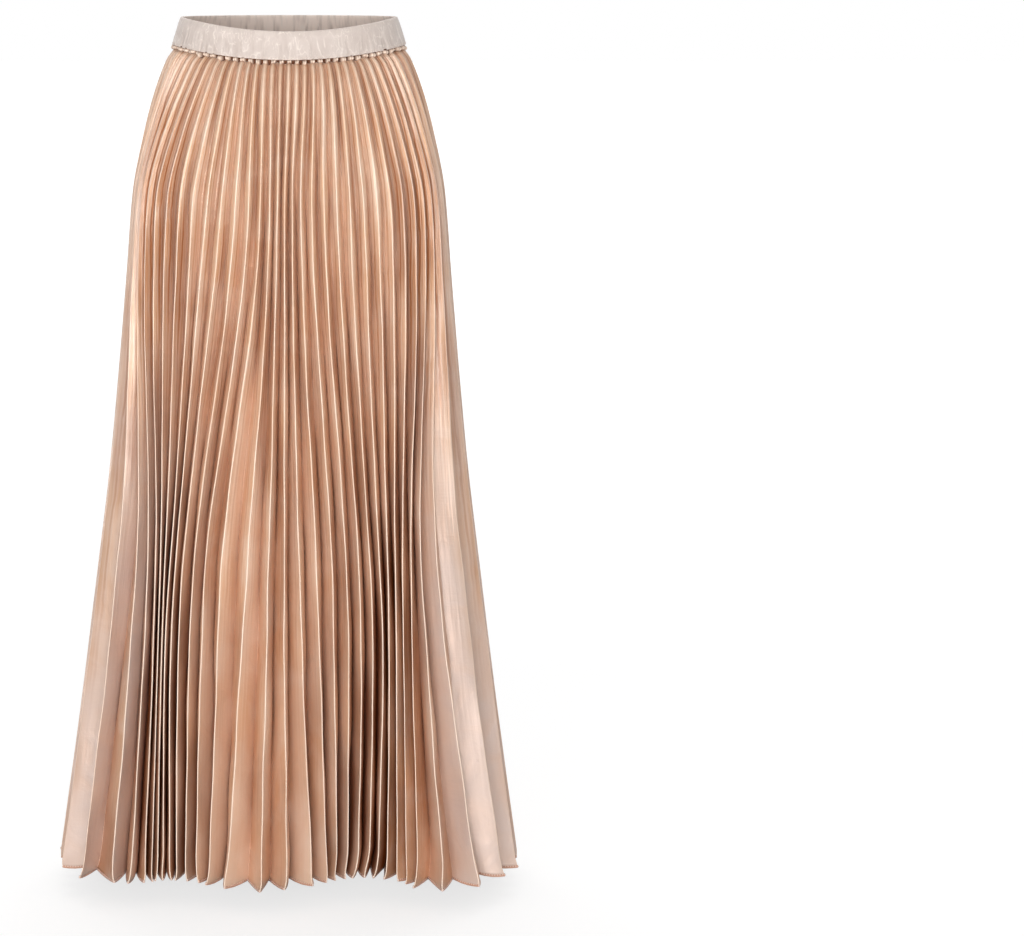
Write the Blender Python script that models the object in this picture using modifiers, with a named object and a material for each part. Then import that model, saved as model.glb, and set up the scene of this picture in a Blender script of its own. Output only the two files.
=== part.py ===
"""Pleated maxi skirt: a front and a back of sunray pleats under an elastic waistband.

Metres, +Z up, and the wearer faces -Y. The origin is the middle of the waist, half way down
the waistband. The cloth is worked out ring by ring. At each height an oval with the skirt's
own half width and depth carries the outer folds, placed across it by the fold tables, and
each inner fold lies behind the middle of its two neighbours, as deep as the pleat's width
lets it. A pleat is narrow at the waist and widens evenly to the hem, as sunray pleats do.
"""
from collections import namedtuple
import math

import bpy
from mathutils import Vector

# Driving sizes
BAND_HEIGHT = 0.033
BAND_WALL = 0.0024
BAND_FRONT_DIP = 0.0145        # the waist is cut this much lower at the centre front
BAND_RUCHES = 68               # soft gathers of the casing, one to a pleat
BAND_RUCHE = 0.0007            # how far a gather stands out at the seam
CLOTH_WALL = 0.001
SEAM_GAP = 0.0003
SEAM_FALL = 0.0010             # the slanted wall ends need this much for the same gap
SKIRT_LENGTH = 0.927           # waist seam to hem
PLEAT_AT_WAIST = 0.0095        # width of one pleat face, outer fold to inner fold
PLEAT_AT_HEM = 0.040
FOLD_TIP = 0.0014              # a fold is a narrow flat, so that the wall can turn
SHALLOWEST_FOLD = 0.003
DIP_FADES_BY = 0.25            # the front dip has gone this far below the waist seam
HEM_RIDGE_DROP = 0.003         # outer folds hang this much lower at the hem
HOLLOWS_START = 0.30           # folds begin to hang back from the oval this far below the seam
STRAIGHT_BACK = 0.6            # pull of the inner folds towards straight behind the outer
EVEN_AT_WAIST = 0.85           # pull of even spacing as seen from the front, at the waist

SEAM_Z = -BAND_HEIGHT / 2
RIM_Z = BAND_HEIGHT / 2

# Levels at which the fold tables give places, as drops below the waist seam
FOLD_LEVELS = (0.0, 0.162, 0.588, SKIRT_LENGTH)

# Rings of the waistband, from the rim down to the waist seam
BandRing = namedtuple("BandRing", "drop half_width front_depth back_depth ruche")
BAND_RINGS = (
    BandRing(0.000, 0.1205, 0.0900, 0.0880, 0.25),
    BandRing(0.008, 0.1234, 0.0921, 0.0902, 0.45),
    BandRing(0.017, 0.1260, 0.0942, 0.0924, 0.60),
    BandRing(0.026, 0.1290, 0.0964, 0.0946, 0.80),
    BandRing(0.033, 0.1314, 0.0984, 0.0964, 1.00),
)

# Rings of the skirt below the waist seam. Boxy is the power of the oval: 2 is an ellipse.
Ring = namedtuple("Ring", "drop half_width front_depth back_depth boxy")
SKIRT_RINGS = (
    Ring(0.000, 0.1330, 0.0995, 0.0975, 2.00),
    Ring(0.010, 0.1385, 0.1040, 0.1020, 2.00),
    Ring(0.029, 0.1463, 0.1090, 0.1080, 2.02),
    Ring(0.060, 0.1560, 0.1140, 0.1155, 2.05),
    Ring(0.100, 0.1650, 0.1195, 0.1240, 2.10),
    Ring(0.162, 0.1763, 0.1245, 0.1350, 2.15),
    Ring(0.250, 0.1836, 0.1290, 0.1420, 2.20),
    Ring(0.370, 0.1940, 0.1360, 0.1460, 2.30),
    Ring(0.480, 0.2050, 0.1440, 0.1490, 2.40),
    Ring(0.588, 0.2185, 0.1525, 0.1510, 2.50),
    Ring(0.750, 0.2395, 0.1640, 0.1520, 2.70),
    Ring(0.927, 0.2648, 0.1790, 0.1520, 2.95),
)

# Outer folds, a row for each: place across at the hip, the knee and the hem, in per cent
# of the skirt's width there, as seen by one who faces that side of it, and how many
# millimetres behind the oval the fold hangs at the hem
Fold = namedtuple("Fold", "hip knee hem back")
FRONT_FOLDS = (
    Fold(0.05, 0.05, 0.03, 0),
    Fold(0.5, 0.7, 0.9, 0),
    Fold(1.6, 5.5, 5.8, 6),
    Fold(3.2, 10.6, 12.2, 14),
    Fold(5.4, 13.7, 16.4, 21),
    Fold(8.3, 15.8, 19.3, 30),
    Fold(11.8, 17.0, 20.8, 37),
    Fold(15.7, 18.1, 22.0, 42),
    Fold(20.0, 19.3, 23.2, 46),
    Fold(24.4, 20.7, 24.5, 48),
    Fold(28.9, 22.6, 26.0, 49),
    Fold(33.3, 25.4, 27.9, 47),
    Fold(37.4, 28.4, 30.1, 41),
    Fold(41.1, 32.5, 33.0, 33),
    Fold(44.0, 39.0, 36.7, 19),
    Fold(46.4, 44.7, 44.0, 4),
    Fold(48.7, 48.8, 49.7, 15),
    Fold(51.0, 52.8, 55.0, 32),
    Fold(53.7, 57.2, 58.2, 46),
    Fold(57.1, 61.1, 60.3, 55),
    Fold(60.9, 64.8, 62.5, 61),
    Fold(65.0, 68.0, 64.8, 64),
    Fold(69.0, 70.9, 67.1, 65),
    Fold(73.3, 73.4, 69.0, 62),
    Fold(77.7, 75.3, 70.9, 56),
    Fold(81.8, 77.2, 72.9, 46),
    Fold(85.7, 79.0, 74.9, 32),
    Fold(89.3, 81.1, 77.2, 12),
    Fold(92.3, 83.9, 82.8, -10),
    Fold(95.0, 88.2, 90.0, -10),
    Fold(97.1, 94.9, 95.6, 6),
    Fold(99.0, 99.3, 99.1, 0),
    Fold(99.95, 99.95, 99.97, 0),
)
BACK_FOLDS = (
    Fold(0.05, 0.05, 0.03, 0),
    Fold(0.6, 0.7, 0.9, 0),
    Fold(1.7, 6.6, 7.4, 1),
    Fold(3.3, 10.6, 12.0, 6),
    Fold(5.5, 13.2, 15.0, 12),
    Fold(8.3, 14.9, 17.4, 18),
    Fold(11.6, 16.5, 19.2, 22),
    Fold(15.4, 18.1, 21.1, 25),
    Fold(19.5, 19.8, 23.0, 26),
    Fold(23.8, 21.7, 24.9, 25),
    Fold(28.2, 24.0, 27.2, 21),
    Fold(32.5, 26.9, 29.9, 14),
    Fold(36.5, 30.6, 32.8, 8),
    Fold(40.2, 35.6, 37.3, 2),
    Fold(43.4, 40.0, 41.0, 1),
    Fold(46.4, 43.8, 44.6, 0),
    Fold(49.2, 48.0, 49.3, 1),
    Fold(52.0, 52.4, 54.4, 4),
    Fold(54.9, 56.4, 57.7, 9),
    Fold(58.0, 60.0, 60.1, 14),
    Fold(61.4, 63.4, 62.5, 20),
    Fold(65.0, 66.6, 64.9, 26),
    Fold(68.8, 69.6, 67.1, 30),
    Fold(72.7, 72.2, 69.2, 32),
    Fold(76.7, 74.4, 71.2, 31),
    Fold(80.6, 76.4, 73.2, 29),
    Fold(84.3, 78.4, 75.3, 24),
    Fold(87.7, 80.4, 77.6, 16),
    Fold(90.8, 82.6, 80.6, 5),
    Fold(93.5, 85.4, 83.7, -5),
    Fold(95.8, 88.8, 87.5, -8),
    Fold(97.6, 92.8, 92.5, -3),
    Fold(99.1, 99.3, 99.1, 0),
    Fold(99.95, 99.95, 99.97, 0),
)

# Colours as linear red, green and blue
SATIN_COLOUR = (0.58, 0.33, 0.21, 1.0)
BAND_COLOUR = (0.72, 0.60, 0.54, 1.0)


def blend(a, b, share):
    """The value that lies the given share of the way from a to b."""
    return a + (b - a) * share


def tangent(slopes, level_index):
    """Slope of a smooth curve at a level, flat where its neighbours turn back."""
    near = slopes[max(level_index - 1, 0):level_index + 1]
    if len(near) == 1:
        return near[0]
    if near[0] * near[1] <= 0.0:
        return 0.0
    return 2 * near[0] * near[1] / (near[0] + near[1])


def smooth_between(levels, values, level):
    """A curve through values at rising levels that never overshoots them, read at one level."""
    last = len(levels) - 1
    k = max(j for j in range(last) if level >= levels[j])
    slopes = [(values[j + 1] - values[j]) / (levels[j + 1] - levels[j]) for j in range(last)]
    step = levels[k + 1] - levels[k]
    t = (level - levels[k]) / step
    rise = values[k + 1] - values[k]
    start = tangent(slopes, k) * step - rise
    end = rise - tangent(slopes, k + 1) * step
    return values[k] + rise * t + t * (1 - t) * (start * (1 - t) + end * t)


def even_place(index, count):
    """Place across, from 0 to 1, of a fold at the waist, where the pleats are even."""
    share = (index + 0.5) / count
    seen_even = math.acos(1 - 2 * share)
    bearing = blend(math.pi * share, seen_even, EVEN_AT_WAIST)
    return (1 - math.cos(bearing)) / 2


def fold_place(folds, index, drop):
    """Place across, from 0 to 1, of an outer fold at a drop below the waist seam."""
    fold = folds[index]
    waist = even_place(index, len(folds))
    places = (waist, fold.hip / 100, fold.knee / 100, fold.hem / 100)
    return smooth_between(FOLD_LEVELS, places, drop)


def front_dip(place):
    """How far the waist lies below its sides, at a place across the front."""
    return BAND_FRONT_DIP * 4 * place * (1 - place)


def set_back(fold, drop):
    """How far behind the oval a fold hangs at a drop below the waist seam."""
    growth = max(drop - HOLLOWS_START, 0.0) / (SKIRT_LENGTH - HOLLOWS_START)
    return fold.back / 1000 * growth


def outer_point(ring, depth, place, behind):
    """Point of the oval at a place across it, with Y counted outwards."""
    x = ring.half_width * (2 * place - 1)
    reach = max(1 - abs(x / ring.half_width) ** ring.boxy, 0.0) ** (1 / ring.boxy)
    return Vector((x, depth * reach - behind))


def fold_ends(centre, along):
    """The two points of a fold's narrow flat tip."""
    half = along.normalized() * (FOLD_TIP / 2)
    return [centre - half, centre + half]


def fold_depth(pleat_face, run):
    """How deep a pleat face reaches when it runs this far along the skirt."""
    return math.sqrt(max(pleat_face ** 2 - run ** 2, SHALLOWEST_FOLD ** 2))


def inward_of(along):
    """Way in from the outer folds: square to them, but nearer to straight back in front."""
    along = along.normalized()
    straight = STRAIGHT_BACK * along.x ** 2
    return Vector((along.y * (1 - straight), -along.x * (1 - straight) - straight)).normalized()


def seam_fold_x(ring, pleat_face):
    """Half width at the side seam, an inner fold that the front and the back share."""
    mean_depth = (ring.front_depth + ring.back_depth) / 2
    nearest = outer_point(ring, mean_depth, fold_place(FRONT_FOLDS, 0, ring.drop), 0.0)
    return -nearest.x - fold_depth(pleat_face, nearest.y)


def pleated_ring(ring, depth, folds, pleat_face):
    """Points of one side of a ring, from side seam to side seam, with Y outwards."""
    outer = []
    for index, fold in enumerate(folds):
        place = fold_place(folds, index, ring.drop)
        outer.append(outer_point(ring, depth, place, set_back(fold, ring.drop)))
    seam_x = seam_fold_x(ring, pleat_face)
    seam_ends = (SEAM_GAP / 2, (SEAM_GAP + FOLD_TIP) / 2)
    points = [(Vector((-seam_x, y)), "seam") for y in seam_ends]
    for index, centre in enumerate(outer):
        before = outer[max(index - 1, 0)]
        after = outer[min(index + 1, len(outer) - 1)]
        points += [(end, "outer") for end in fold_ends(centre, after - before)]
        if index + 1 < len(outer):
            chord = outer[index + 1] - centre
            depth_in = fold_depth(pleat_face, max(chord.length / 2 - FOLD_TIP, 0.0))
            inward = inward_of(outer[min(index + 2, len(outer) - 1)] - before)
            middle = centre + chord / 2 + inward * depth_in
            points += [(end, "inner") for end in fold_ends(middle, chord)]
    points += [(Vector((seam_x, y)), "seam") for y in reversed(seam_ends)]
    return points


def skirt_rows(folds, is_front):
    """Rows of points of the front or the back, from the waist seam to the hem."""
    rows = []
    for ring in SKIRT_RINGS:
        depth = ring.front_depth if is_front else ring.back_depth
        face = blend(PLEAT_AT_WAIST, PLEAT_AT_HEM, ring.drop / SKIRT_LENGTH)
        fade = max(1 - ring.drop / DIP_FADES_BY, 0.0) if is_front else 0.0
        row = []
        for point, kind in pleated_ring(ring, depth, folds, face):
            place = (point.x / ring.half_width + 1) / 2
            z = SEAM_Z - SEAM_FALL - ring.drop - front_dip(place) * fade
            if kind == "outer":
                z -= HEM_RIDGE_DROP * (ring.drop / SKIRT_LENGTH) ** 2
            facing = -1 if is_front else 1
            row.append(Vector((-facing * point.x, facing * point.y, z)))
        rows.append(row)
    return rows


def band_rows():
    """Closed rows of points of the waistband's outer face, from the rim down."""
    rows = []
    columns = 2 * BAND_RUCHES
    for ring in BAND_RINGS:
        row = []
        for column in range(columns):
            bearing = 2 * math.pi * column / columns
            depth = ring.front_depth if bearing < math.pi else ring.back_depth
            stand = BAND_RUCHE * ring.ruche * (column % 2)
            x = -(ring.half_width + stand - BAND_RUCHE) * math.cos(bearing)
            y = -(depth + stand - BAND_RUCHE) * math.sin(bearing)
            dip = front_dip((1 - math.cos(bearing)) / 2) if y < 0 else 0.0
            row.append(Vector((x, y, RIM_Z - ring.drop - dip)))
        rows.append(row)
    return rows


def cloth_material(name, colour, roughness):
    """A cloth finish with no metal in it."""
    material = bpy.data.materials.new(name)
    material.use_nodes = True
    shader = material.node_tree.nodes["Principled BSDF"]
    shader.inputs["Base Color"].default_value = colour
    shader.inputs["Roughness"].default_value = roughness
    shader.inputs["Metallic"].default_value = 0.0
    material.diffuse_color = colour
    return material


def loft(name, rows, closed, wall, material, collection):
    """A cloth wall through rows of points, which run left to right as seen from outside."""
    columns = len(rows[0])
    faces = []
    for r in range(len(rows) - 1):
        for c in range(columns if closed else columns - 1):
            after = (c + 1) % columns
            top = r * columns
            low = top + columns
            faces.append((top + c, low + c, low + after, top + after))
    mesh = bpy.data.meshes.new(name)
    mesh.from_pydata([tuple(point) for row in rows for point in row], [], faces)
    mesh.materials.append(material)
    piece = bpy.data.objects.new(name, mesh)
    collection.objects.link(piece)
    solid = piece.modifiers.new("cloth_wall", "SOLIDIFY")
    solid.thickness = wall
    solid.offset = 0.0
    solid.use_even_offset = True
    solid.use_quality_normals = True
    return piece


def main():
    """Clear the scene and build the three sewn pieces."""
    for old in list(bpy.data.objects):
        bpy.data.objects.remove(old, do_unlink=True)
    collection = bpy.data.collections.new("pleated_maxi_skirt")
    bpy.context.scene.collection.children.link(collection)
    satin_front = cloth_material("front_satin", SATIN_COLOUR, 0.36)
    satin_back = cloth_material("back_satin", SATIN_COLOUR, 0.36)
    casing = cloth_material("waistband_casing", BAND_COLOUR, 0.7)
    front = skirt_rows(FRONT_FOLDS, True)
    back = skirt_rows(BACK_FOLDS, False)
    loft("skirt_front", front, False, CLOTH_WALL, satin_front, collection)
    loft("skirt_back", back, False, CLOTH_WALL, satin_back, collection)
    loft("waistband", band_rows(), True, BAND_WALL, casing, collection)


main()
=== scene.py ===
"""Dressed pleated maxi skirt: satin in sunray pleats under a crinkled elastic waistband.

Metres, +Z up. The wearer faces -Y and +X is the wearer's left. The origin is the middle of
the waist, half way down the waistband. Cloth is worked out as whole grids: a row for each
height and a column for each place across the cloth.
"""
import logging
import math
from dataclasses import dataclass, field
from enum import Enum
from typing import Any, Sequence

import bpy
import numpy as np
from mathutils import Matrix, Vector


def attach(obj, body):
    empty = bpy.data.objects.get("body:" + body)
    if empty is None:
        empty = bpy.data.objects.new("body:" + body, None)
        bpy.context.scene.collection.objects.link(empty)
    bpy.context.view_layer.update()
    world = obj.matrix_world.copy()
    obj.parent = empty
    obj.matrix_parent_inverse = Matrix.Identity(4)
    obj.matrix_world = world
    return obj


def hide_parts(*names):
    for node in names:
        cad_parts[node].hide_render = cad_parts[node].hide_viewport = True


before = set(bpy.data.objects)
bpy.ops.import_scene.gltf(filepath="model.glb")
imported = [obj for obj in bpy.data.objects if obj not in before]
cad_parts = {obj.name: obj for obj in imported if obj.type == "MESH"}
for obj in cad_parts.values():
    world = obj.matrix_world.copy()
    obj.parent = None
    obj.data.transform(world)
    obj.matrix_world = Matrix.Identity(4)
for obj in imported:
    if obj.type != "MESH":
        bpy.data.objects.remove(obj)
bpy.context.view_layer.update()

LOG = logging.getLogger("skirt")
Grid = np.ndarray
Colour = tuple[float, float, float, float]
Socket = bpy.types.NodeSocket

BAND_HEIGHT = 0.033
RIM_Z = BAND_HEIGHT / 2
SEAM_Z = -BAND_HEIGHT / 2
SEAM_FALL = 0.0010
BAND_FRONT_DIP = 0.0145
CASING_ROUND = 0.70
SKIRT_LENGTH = 0.927

# Rings of the waistband: drop below the rim, half width, front depth, back depth
BAND_RINGS = np.array([
    (0.000, 0.1205, 0.0900, 0.0880),
    (0.008, 0.1234, 0.0921, 0.0902),
    (0.017, 0.1260, 0.0942, 0.0924),
    (0.026, 0.1290, 0.0964, 0.0946),
    (0.033, 0.1314, 0.0984, 0.0964),
])

# Rings of the skirt: drop below the waist seam, half width, front depth, back depth, boxy.
# Boxy is the power of the oval: 2 is an ellipse.
SKIRT_RINGS = np.array([
    (0.000, 0.1330, 0.0995, 0.0975, 2.00),
    (0.010, 0.1385, 0.1040, 0.1020, 2.00),
    (0.029, 0.1463, 0.1090, 0.1080, 2.02),
    (0.060, 0.1560, 0.1140, 0.1155, 2.05),
    (0.100, 0.1650, 0.1195, 0.1240, 2.10),
    (0.162, 0.1763, 0.1245, 0.1350, 2.15),
    (0.250, 0.1836, 0.1290, 0.1420, 2.20),
    (0.370, 0.1940, 0.1360, 0.1460, 2.30),
    (0.480, 0.2050, 0.1440, 0.1490, 2.40),
    (0.588, 0.2185, 0.1525, 0.1510, 2.50),
    (0.750, 0.2395, 0.1640, 0.1520, 2.70),
    (0.927, 0.2648, 0.1790, 0.1520, 2.95),
])

# Colour of the painted shade in the gaps between the pinched heads of the pleats
GATHERED_GAP_SHADE: Colour = (0.11, 0.045, 0.026, 1.0)

# Drops at which the fold tables give places: waist, hip, knee, hem
FOLD_LEVELS = np.array([0.0, 0.162, 0.588, SKIRT_LENGTH])

# Outer folds from the wearer's right to left: place across at the hip, knee and hem in per
# cent, how far the fold hangs behind the oval at the hem in mm, how far the inner fold after
# it leans along the gap, and how far the fold flicks sideways at the hem in mm
FRONT_FOLDS = np.array([
    (0.05, 0.05, 0.03, 0, 0.00, 0.0),
    (0.5, 0.7, 0.9, 0, 0.00, 0.0),
    (1.6, 5.5, 5.8, 6, -0.45, -2.0),
    (3.2, 10.6, 12.2, 14, 0.00, 2.5),
    (5.4, 13.7, 16.4, 21, 0.00, -1.5),
    (8.3, 15.8, 19.3, 30, 0.00, 1.0),
    (11.8, 17.0, 20.8, 37, 0.00, 0.0),
    (15.7, 18.1, 22.0, 42, 0.00, -0.8),
    (20.0, 19.3, 23.2, 46, 0.00, -2.0),
    (24.4, 20.7, 24.5, 48, 0.00, 1.0),
    (28.9, 22.6, 26.0, 49, 0.00, 0.5),
    (33.3, 25.4, 27.9, 47, 0.00, 1.0),
    (37.4, 28.4, 30.1, 41, 0.00, 2.0),
    (41.1, 32.5, 33.0, 33, 0.00, -2.0),
    (44.0, 39.0, 36.7, 19, 0.06, -2.5),
    (46.4, 44.7, 44.0, 4, -0.08, 0.0),
    (48.7, 48.8, 49.7, 15, -0.06, -1.5),
    (51.0, 52.8, 55.0, 32, 0.00, -1.0),
    (53.7, 57.2, 58.2, 46, 0.00, 0.0),
    (57.1, 61.1, 60.3, 55, 0.00, -3.5),
    (60.9, 64.8, 62.5, 61, 0.00, -4.5),
    (65.0, 68.0, 64.8, 64, 0.00, -5.0),
    (69.0, 70.9, 67.1, 65, 0.00, -6.5),
    (73.3, 73.4, 69.0, 62, 0.00, -4.0),
    (77.7, 75.3, 70.9, 56, 0.00, -1.5),
    (81.8, 77.2, 72.9, 46, 0.00, 0.0),
    (85.7, 79.0, 74.9, 32, 0.00, 0.5),
    (89.3, 81.1, 77.2, 12, 0.00, -3.0),
    (92.3, 83.9, 82.8, -10, 0.00, -5.0),
    (95.0, 88.2, 90.0, -10, 0.00, 3.0),
    (97.1, 94.9, 95.6, 6, 0.00, 2.0),
    (99.0, 99.3, 99.1, 0, 0.00, 0.0),
    (99.95, 99.95, 99.97, 0, 0.00, 0.0),
])
BACK_FOLDS = np.array([
    (0.05, 0.05, 0.03, 0, 0.00, 0.0),
    (0.6, 0.7, 0.9, 0, 0.00, 0.0),
    (1.7, 6.6, 7.4, 1, -0.35, -2.0),
    (3.3, 10.6, 12.0, 6, 0.00, 1.5),
    (5.5, 13.2, 15.0, 12, 0.00, -1.0),
    (8.3, 14.9, 17.4, 18, 0.00, 1.0),
    (11.6, 16.5, 19.2, 22, 0.00, -1.5),
    (15.4, 18.1, 21.1, 25, 0.00, 0.0),
    (19.5, 19.8, 23.0, 26, 0.00, 1.5),
    (23.8, 21.7, 24.9, 25, 0.00, -1.0),
    (28.2, 24.0, 27.2, 21, 0.00, 2.0),
    (32.5, 26.9, 29.9, 14, 0.00, -2.0),
    (36.5, 30.6, 32.8, 8, 0.00, -2.5),
    (40.2, 35.6, 37.3, 2, 0.00, 0.0),
    (43.4, 40.0, 41.0, 1, 0.00, 1.5),
    (46.4, 43.8, 44.6, 0, 0.00, -1.5),
    (49.2, 48.0, 49.3, 1, -0.06, -2.0),
    (52.0, 52.4, 54.4, 4, 0.00, -1.0),
    (54.9, 56.4, 57.7, 9, 0.00, 0.0),
    (58.0, 60.0, 60.1, 14, 0.00, -2.5),
    (61.4, 63.4, 62.5, 20, 0.00, -3.5),
    (65.0, 66.6, 64.9, 26, 0.00, -4.0),
    (68.8, 69.6, 67.1, 30, 0.00, -4.5),
    (72.7, 72.2, 69.2, 32, 0.00, -3.0),
    (76.7, 74.4, 71.2, 31, 0.00, -1.5),
    (80.6, 76.4, 73.2, 29, 0.00, 1.0),
    (84.3, 78.4, 75.3, 24, 0.00, 0.0),
    (87.7, 80.4, 77.6, 16, 0.00, -2.0),
    (90.8, 82.6, 80.6, 5, 0.00, -3.5),
    (93.5, 85.4, 83.7, -5, 0.00, 1.5),
    (95.8, 88.8, 87.5, -8, 0.00, 2.0),
    (97.6, 92.8, 92.5, -3, 0.00, 2.0),
    (99.1, 99.3, 99.1, 0, 0.00, 0.0),
    (99.95, 99.95, 99.97, 0, 0.00, 0.0),
])


class Side(Enum):
    """The two sewn sides of the skirt, with the way that each one faces along Y."""

    FRONT = -1
    BACK = 1


class Slot(Enum):
    """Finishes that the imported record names."""

    SATIN = "pleated_satin"
    CASING = "waistband_casing"


# ---------------------------------------------------------------- curves and grids


def blend(a: Any, b: Any, share: Any) -> Any:
    """The value that lies the given share of the way from a to b."""
    return a + (b - a) * share


def smooth_step(share: Any) -> Any:
    """An ease from 0 to 1: t * t * (3 - 2 t) of a share held between 0 and 1."""
    t = np.clip(share, 0.0, 1.0)
    return t * t * (3 - 2 * t)


def smooth_through(levels: Grid, values: Grid, at: Grid) -> Grid:
    """A curve through values at rising levels that never overshoots them.

    On a span the curve is v + rise t + t (1 - t) (a (1 - t) + b t), where a and b come from
    the end slopes. An end slope is the harmonic mean of its neighbours, or 0 at a turn.

    Args:
        levels: Rising levels, shape (levels,).
        values: Values at the levels, shape (levels, ...).
        at: Levels to read, shape (rows,).

    Returns:
        The curve at those levels, shape (rows, ...).
    """
    values = np.asarray(values, dtype=float)
    tail = (1,) * (values.ndim - 1)
    steps = np.diff(levels)
    slopes = np.diff(values, axis=0) / steps.reshape(-1, *tail)
    product = slopes[:-1] * slopes[1:]
    total = np.where(product > 0, slopes[:-1] + slopes[1:], 1.0)
    middle = np.where(product > 0, 2 * product / total, 0.0)
    tangents = np.concatenate([slopes[:1], middle, slopes[-1:]])
    k = np.clip(np.searchsorted(levels, at, side="right") - 1, 0, len(steps) - 1)
    step = steps[k].reshape(-1, *tail)
    t = ((at - levels[k]) / steps[k]).reshape(-1, *tail)
    rise = values[k + 1] - values[k]
    start = tangents[k] * step - rise
    end = rise - tangents[k + 1] * step
    return values[k] + rise * t + t * (1 - t) * (start * (1 - t) + end * t)


def unit(vectors: Grid) -> Grid:
    """Vectors of length 1 along the last axis."""
    return vectors / np.maximum(np.linalg.norm(vectors, axis=-1, keepdims=True), 1e-9)


def hump(value: Grid, middle: Any, spread: float) -> Grid:
    """A bell of height 1: exp(-((value - middle) / spread)^2)."""
    return np.exp(-((value - middle) / spread) ** 2)


def by_row(drops: Grid, levels: Sequence[float], values: Sequence[float]) -> Grid:
    """Values read between levels at each row's drop, as a column, shape (rows, 1)."""
    return np.interp(drops, levels, values)[:, None]


def stacked(*parts: Any) -> Grid:
    """Arrays brought to one shape and stacked along a new last axis."""
    return np.stack(np.broadcast_arrays(*parts), axis=-1)


def running_sum(steps: Grid) -> Grid:
    """Sums along each row, from 0, shape (rows, steps + 1)."""
    return np.concatenate([np.zeros((len(steps), 1)), np.cumsum(steps, axis=1)], axis=1)


def across_row(points: Grid) -> Grid:
    """X as a share of the row's greatest half width, -1 to 1."""
    return points[..., 0] / np.abs(points[..., 0]).max(axis=1, keepdims=True)


def ripple(index: Grid, drop: Grid) -> Grid:
    """Slow uneven waves down each fold: two sines with a phase for each fold.

    Args:
        index: Numbers of the folds.
        drop: Drops of the rows, as a column.

    Returns:
        Waves from -1 to 1, shape (rows, folds).
    """
    slow = np.sin(2 * math.pi * (drop / 0.23 + 0.618 * index))
    quick = np.sin(2 * math.pi * (drop / 0.097 + 0.377 * index))
    return 0.62 * slow + 0.38 * quick


def wrapped_noise(around: Grid, down: Grid, cells: tuple[int, int], seed: int) -> Grid:
    """Smooth noise from -1 to 1 that closes on itself around the waist.

    Random values at the corners of a lattice, eased between corners in both directions.

    Args:
        around: Share of the way round, 0 to 1.
        down: Share of the way down, 0 to 1.
        cells: Lattice cells round and down.
        seed: Seed of the random corners.

    Returns:
        Noise with the shape of around and down together.
    """
    corners = np.random.default_rng(seed).uniform(-1, 1, (cells[0], cells[1] + 2))
    a = around * cells[0]
    d = np.clip(down, 0.0, 1.0) * cells[1]
    i = np.floor(a).astype(int)
    j = np.floor(d).astype(int)
    ease_a = smooth_step(a - i)
    ease_d = smooth_step(d - j)
    left = i % cells[0]
    right = (i + 1) % cells[0]
    upper = blend(corners[left, j], corners[right, j], ease_a)
    lower = blend(corners[left, j + 1], corners[right, j + 1], ease_a)
    return blend(upper, lower, ease_d)


def grid_faces(rows: int, columns: int, closed_rows: bool, closed_columns: bool) -> Grid:
    """Corner numbers of the quads of a grid whose rows run down and columns run across.

    Args:
        rows: Rows of points.
        columns: Points in a row.
        closed_rows: Whether the last row joins the first.
        closed_columns: Whether the last column joins the first.

    Returns:
        Quads that face outwards where columns run left to right as seen from outside,
        shape (quads, 4).
    """
    r = np.arange(rows if closed_rows else rows - 1)[:, None]
    c = np.arange(columns if closed_columns else columns - 1)[None, :]
    low = (r + 1) % rows
    after = (c + 1) % columns
    return stacked(r * columns + c, low * columns + c, low * columns + after,
                   r * columns + after).reshape(-1, 4)


def waist_bearing(share: Grid) -> Grid:
    """Angle round half the waist, between even round it and even as seen from the front."""
    return blend(math.pi * share, np.arccos(1 - 2 * share), 0.85)


def even_places(count: int) -> Grid:
    """Places across, 0 to 1, of folds at the waist."""
    return (1 - np.cos(waist_bearing((np.arange(count) + 0.5) / count))) / 2


def front_dip(place: Grid) -> Grid:
    """How far the waist lies below its sides across the front: dip * 4 p (1 - p)."""
    return BAND_FRONT_DIP * 4 * place * (1 - place)


@dataclass
class ClothMesh:
    """A named mesh piece: its points, quads, UV maps and painted values."""

    name: str
    points: Grid
    quads: Grid
    maps: dict[str, Grid]
    values: dict[str, Grid] = field(default_factory=dict)
    wall: float = 0.0

    def build(self) -> bpy.types.Object:
        """Make the object, at the origin with its place in its mesh.

        Returns:
            The new mesh object, smooth, with its UV maps and float attributes.
        """
        mesh = bpy.data.meshes.new(self.name)
        mesh.from_pydata(self.points.reshape(-1, 3), [], self.quads)
        loops = np.empty(len(mesh.loops), dtype=np.int64)
        mesh.loops.foreach_get("vertex_index", loops)
        for key, uv in self.maps.items():
            layer = mesh.uv_layers.new(name=key)
            layer.data.foreach_set("uv", uv.reshape(-1, 2)[loops].astype(np.float32).ravel())
        for key, value in self.values.items():
            attribute = mesh.attributes.new(key, "FLOAT", "POINT")
            attribute.data.foreach_set("value", value.astype(np.float32).ravel())
        mesh.shade_smooth()
        piece = bpy.data.objects.new(self.name, mesh)
        bpy.context.scene.collection.objects.link(piece)
        if self.wall:
            solid = piece.modifiers.new("cloth_wall", "SOLIDIFY")
            solid.thickness = self.wall
            solid.offset = 0.0
        LOG.info("%s: %d points, %d quads", self.name, len(mesh.vertices), len(self.quads))
        return piece


# ---------------------------------------------------------------- finishes


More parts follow.
